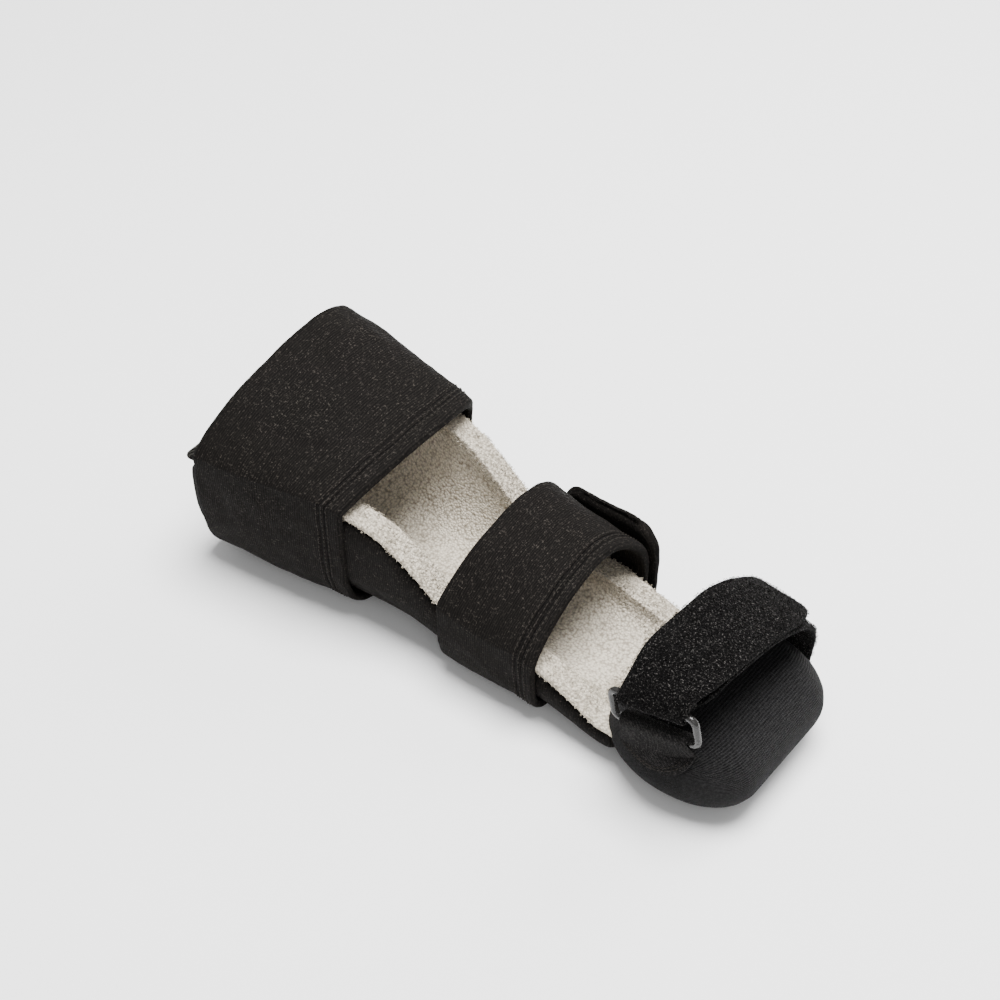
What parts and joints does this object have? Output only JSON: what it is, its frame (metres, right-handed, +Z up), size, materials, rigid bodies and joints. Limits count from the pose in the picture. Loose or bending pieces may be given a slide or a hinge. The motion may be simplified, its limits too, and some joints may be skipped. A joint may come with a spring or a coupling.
{
  "type": "hand splint",
  "caption": "Right-hand resting splint: padded forearm trough with a terry lining and a palm roll, two wide wrap straps and a hand strap through a plastic ring.",
  "frame": {"origin": "under the middle of the splint's box, on the plane that the strap undersides and the palm roll rest on", "axes": "+X from the elbow end of the trough to the palm roll, -Y to the little-finger side with the ring, +Z up through the back of the hand"},
  "size_m": [0.315, 0.1256, 0.1076],
  "materials": {
    "laminate_cover": "black foam laminate with a fine weave",
    "terry": "light warm-grey terry",
    "rib_knit": "black fine-ribbed knit",
    "plush_loop": "black brushed loop fabric",
    "clear_plastic": "smoky clear moulded plastic",
    "webbing": "black narrow webbing"
  },
  "bodies": {
    "root": {"trough_pad": "laminate_cover", "terry_lining": "terry", "palm_roll": "rib_knit", "forearm_strap": "laminate_cover", "wrist_strap": "laminate_cover", "hand_strap": "plush_loop", "strap_ring": "clear_plastic", "ring_tab": "webbing"}
  },
  "joints": []
}
